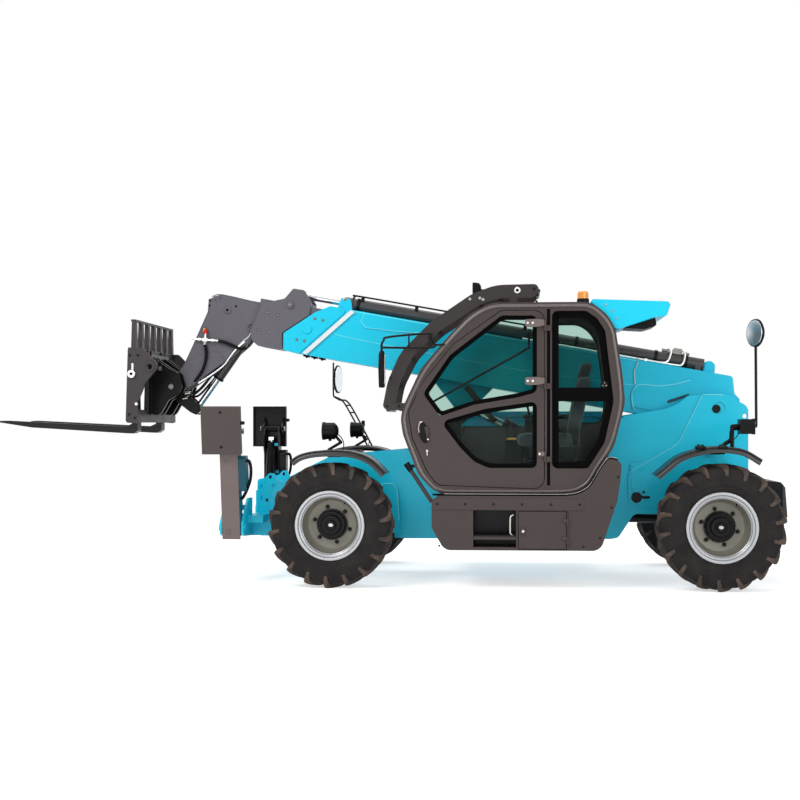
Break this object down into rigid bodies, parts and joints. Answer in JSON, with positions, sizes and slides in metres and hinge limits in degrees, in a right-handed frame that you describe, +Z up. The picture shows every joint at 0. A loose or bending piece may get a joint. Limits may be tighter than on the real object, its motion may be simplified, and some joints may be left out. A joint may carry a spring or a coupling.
{
  "type": "telehandler",
  "caption": "Four-wheel-steer telescopic handler with a three-section boom, pallet forks, a side cab and two folding front stabilisers.",
  "frame": {"origin": "on the ground, under the middle of the overall box", "axes": "+Z up, forks point to -X, the machine's right is +Y, the cab is on the -Y side"},
  "size_m": [6.68, 2.3819, 2.5054],
  "materials": {
    "teal_paint": "gloss",
    "dark_paint": "satin",
    "grey_paint": "satin",
    "tyre_rubber": "matte",
    "rim_paint": "satin",
    "glass_tint": "gloss",
    "rod_chrome": "polished",
    "black_metal": "satin",
    "black_plastic": "matte",
    "seat_fabric": "matte"
  },
  "bodies": {
    "machine": {"chassis_frame": "teal_paint", "counterweight": "dark_paint", "stabiliser_mount": "teal_paint", "front_axle": "teal_paint", "rear_axle": "teal_paint", "engine": "black_metal", "engine_bay": "teal_paint", "driveline": "black_metal", "cab_shell": "dark_paint", "cab_roof": "dark_paint", "cab_floor": "dark_paint", "cab_glass": "glass_tint", "operator_seat": "seat_fabric", "console": "black_plastic", "front_guard": "black_metal", "ac_unit": "teal_paint", "step_box": "dark_paint", "fenders": "black_plastic", "lamps": "black_plastic", "mirrors": "black_plastic"},
    "door": {"door_frame": "dark_paint", "door_glass": "glass_tint"},
    "storage_door": {"storage_door": "dark_paint"},
    "bonnet": {"bonnet": "teal_paint"},
    "boom": {"boom_outer": "teal_paint", "extension_barrel": "black_metal"},
    "boom_mid": {"boom_mid": "grey_paint", "extension_rod": "rod_chrome"},
    "boom_inner": {"boom_inner": "grey_paint"},
    "carriage": {"coupler": "grey_paint", "fork_carriage": "grey_paint", "forks": "grey_paint"},
    "lift_barrel": {"lift_barrel": "black_metal"},
    "lift_rod": {"lift_rod": "rod_chrome"},
    "tilt_barrel": {"tilt_barrel": "black_metal"},
    "tilt_rod": {"tilt_rod": "rod_chrome"},
    "leg_left": {"stabiliser_leg_left": "grey_paint"},
    "leg_barrel_left": {"stabiliser_barrel_left": "black_metal"},
    "leg_rod_left": {"stabiliser_rod_left": "rod_chrome"},
    "pad_left": {"stabiliser_pad_left": "grey_paint"},
    "leg_right": {"stabiliser_leg_right": "grey_paint"},
    "leg_barrel_right": {"stabiliser_barrel_right": "black_metal"},
    "leg_rod_right": {"stabiliser_rod_right": "rod_chrome"},
    "pad_right": {"stabiliser_pad_right": "grey_paint"},
    "knuckle_front_left": {"knuckle_front_left": "teal_paint"},
    "wheel_front_left": {"rim_front_left": "rim_paint", "tyre_front_left": "tyre_rubber"},
    "knuckle_front_right": {"knuckle_front_right": "teal_paint"},
    "wheel_front_right": {"rim_front_right": "rim_paint", "tyre_front_right": "tyre_rubber"},
    "knuckle_rear_left": {"knuckle_rear_left": "teal_paint"},
    "wheel_rear_left": {"rim_rear_left": "rim_paint", "tyre_rear_left": "tyre_rubber"},
    "knuckle_rear_right": {"knuckle_rear_right": "teal_paint"},
    "wheel_rear_right": {"rim_rear_right": "rim_paint", "tyre_rear_right": "tyre_rubber"}
  },
  "joints": [
    {"name": "door_hinge", "type": "hinge", "parent": "machine", "child": "door", "pos_m": [1.366, -1.064, 1.5], "axis": [0, 0, 1], "range_deg": [0, 85]},
    {"name": "storage_door_hinge", "type": "hinge", "parent": "machine", "child": "storage_door", "pos_m": [1.539, -1.13, 0.48], "axis": [0, 0, 1], "range_deg": [0, 100]},
    {"name": "bonnet_hinge", "type": "hinge", "parent": "machine", "child": "bonnet", "pos_m": [1.22, 0.34, 1.392], "axis": [1, 0, 0], "range_deg": [0, 60]},
    {"name": "boom_lift", "type": "hinge", "parent": "machine", "child": "boom", "pos_m": [2.805, 0, 1.445], "axis": [0, 1, 0], "range_deg": [-13.5, 55]},
    {"name": "boom_mid_slide", "type": "slide", "parent": "boom", "child": "boom_mid", "axis": [-0.9842, 0, 0.1771], "range_m": [0, 2.75]},
    {"name": "boom_inner_slide", "type": "slide", "parent": "boom_mid", "child": "boom_inner", "axis": [-0.9842, 0, 0.1771], "range_m": [0, 2.75]},
    {"name": "carriage_tilt", "type": "hinge", "parent": "boom_inner", "child": "carriage", "pos_m": [-1.915, 0, 1.643], "axis": [0, 1, 0], "range_deg": [-62, 16]},
    {"name": "lift_barrel_pivot", "type": "hinge", "parent": "machine", "child": "lift_barrel", "pos_m": [2.145, 0, 0.7], "axis": [0, 1, 0], "range_deg": [-13.5, 53.5]},
    {"name": "lift_rod_slide", "type": "slide", "parent": "lift_barrel", "child": "lift_rod", "axis": [-0.8831, 0, 0.4692], "range_m": [-0.222, 0.9]},
    {"name": "tilt_barrel_pivot", "type": "hinge", "parent": "boom_inner", "child": "tilt_barrel", "pos_m": [-1.185, 0, 2.173], "axis": [0, 1, 0], "range_deg": [-2, 7]},
    {"name": "tilt_rod_slide", "type": "slide", "parent": "tilt_barrel", "child": "tilt_rod", "axis": [-0.5802, 0, -0.8145], "range_m": [-0.272, 0.071]},
    {"name": "leg_hinge_left", "type": "hinge", "parent": "machine", "child": "leg_left", "pos_m": [-1.182, -0.94, 0.47], "axis": [1, 0, 0], "range_deg": [-9, 96]},
    {"name": "leg_barrel_pivot_left", "type": "hinge", "parent": "machine", "child": "leg_barrel_left", "pos_m": [-1.182, -0.7, 0.62], "axis": [1, 0, 0], "range_deg": [-8.24, 83.06]},
    {"name": "leg_rod_slide_left", "type": "slide", "parent": "leg_barrel_left", "child": "leg_rod_left", "axis": [0, -0.4526, 0.8917], "range_m": [-0.0389, 0.3957]},
    {"name": "pad_hinge_left", "type": "hinge", "parent": "leg_left", "child": "pad_left", "pos_m": [-1.182, -1.06515, 1.26015], "axis": [1, 0, 0], "range_deg": [-25, 8]},
    {"name": "leg_hinge_right", "type": "hinge", "parent": "machine", "child": "leg_right", "pos_m": [-1.182, 0.94, 0.47], "axis": [-1, 0, 0], "range_deg": [0, 105]},
    {"name": "leg_barrel_pivot_right", "type": "hinge", "parent": "machine", "child": "leg_barrel_right", "pos_m": [-1.182, 0.7, 0.62], "axis": [-1, 0, 0], "range_deg": [-0.5, 90.8]},
    {"name": "leg_rod_slide_right", "type": "slide", "parent": "leg_barrel_right", "child": "leg_rod_right", "axis": [0, 0.2953, 0.9554], "range_m": [-0.002, 0.4327]},
    {"name": "pad_hinge_right", "type": "hinge", "parent": "leg_right", "child": "pad_right", "pos_m": [-1.182, 0.94, 1.27], "axis": [-1, 0, 0], "range_deg": [-25, 8]},
    {"name": "steer_front_left", "type": "hinge", "parent": "machine", "child": "knuckle_front_left", "pos_m": [-0.355, -0.85, 0.5036], "axis": [0, 0, 1], "range_deg": [-35, 35]},
    {"name": "wheel_spin_front_left", "type": "hinge", "parent": "knuckle_front_left", "child": "wheel_front_left", "pos_m": [-0.355, -0.985, 0.5036], "axis": [0, 1, 0], "continuous": true},
    {"name": "steer_front_right", "type": "hinge", "parent": "machine", "child": "knuckle_front_right", "pos_m": [-0.355, 0.85, 0.5036], "axis": [0, 0, 1], "range_deg": [-35, 35]},
    {"name": "wheel_spin_front_right", "type": "hinge", "parent": "knuckle_front_right", "child": "wheel_front_right", "pos_m": [-0.355, 0.985, 0.5036], "axis": [0, 1, 0], "continuous": true},
    {"name": "steer_rear_left", "type": "hinge", "parent": "machine", "child": "knuckle_rear_left", "pos_m": [2.745, -0.85, 0.5036], "axis": [0, 0, 1], "range_deg": [-35, 35]},
    {"name": "wheel_spin_rear_left", "type": "hinge", "parent": "knuckle_rear_left", "child": "wheel_rear_left", "pos_m": [2.745, -0.985, 0.5036], "axis": [0, 1, 0], "continuous": true},
    {"name": "steer_rear_right", "type": "hinge", "parent": "machine", "child": "knuckle_rear_right", "pos_m": [2.745, 0.85, 0.5036], "axis": [0, 0, 1], "range_deg": [-35, 35]},
    {"name": "wheel_spin_rear_right", "type": "hinge", "parent": "knuckle_rear_right", "child": "wheel_rear_right", "pos_m": [2.745, 0.985, 0.5036], "axis": [0, 1, 0], "continuous": true}
  ],
  "couplings": [
    {"joint": "boom_inner_slide", "follows": "boom_mid_slide", "ratio": 1},
    {"joint": "lift_barrel_pivot", "follows": "boom_lift", "ratio": 0.955},
    {"joint": "lift_rod_slide", "follows": "boom_lift", "m_per_rad": 0.935},
    {"joint": "tilt_barrel_pivot", "follows": "carriage_tilt", "ratio": -0.11},
    {"joint": "tilt_rod_slide", "follows": "carriage_tilt", "m_per_rad": 0.25},
    {"joint": "leg_barrel_pivot_left", "follows": "leg_hinge_left", "ratio": 0.86},
    {"joint": "leg_rod_slide_left", "follows": "leg_hinge_left", "m_per_rad": 0.235},
    {"joint": "leg_barrel_pivot_right", "follows": "leg_hinge_right", "ratio": 0.86},
    {"joint": "leg_rod_slide_right", "follows": "leg_hinge_right", "m_per_rad": 0.235},
    {"joint": "steer_front_right", "follows": "steer_front_left", "ratio": 1},
    {"joint": "steer_rear_left", "follows": "steer_front_left", "ratio": -1},
    {"joint": "steer_rear_right", "follows": "steer_front_left", "ratio": -1}
  ]
}
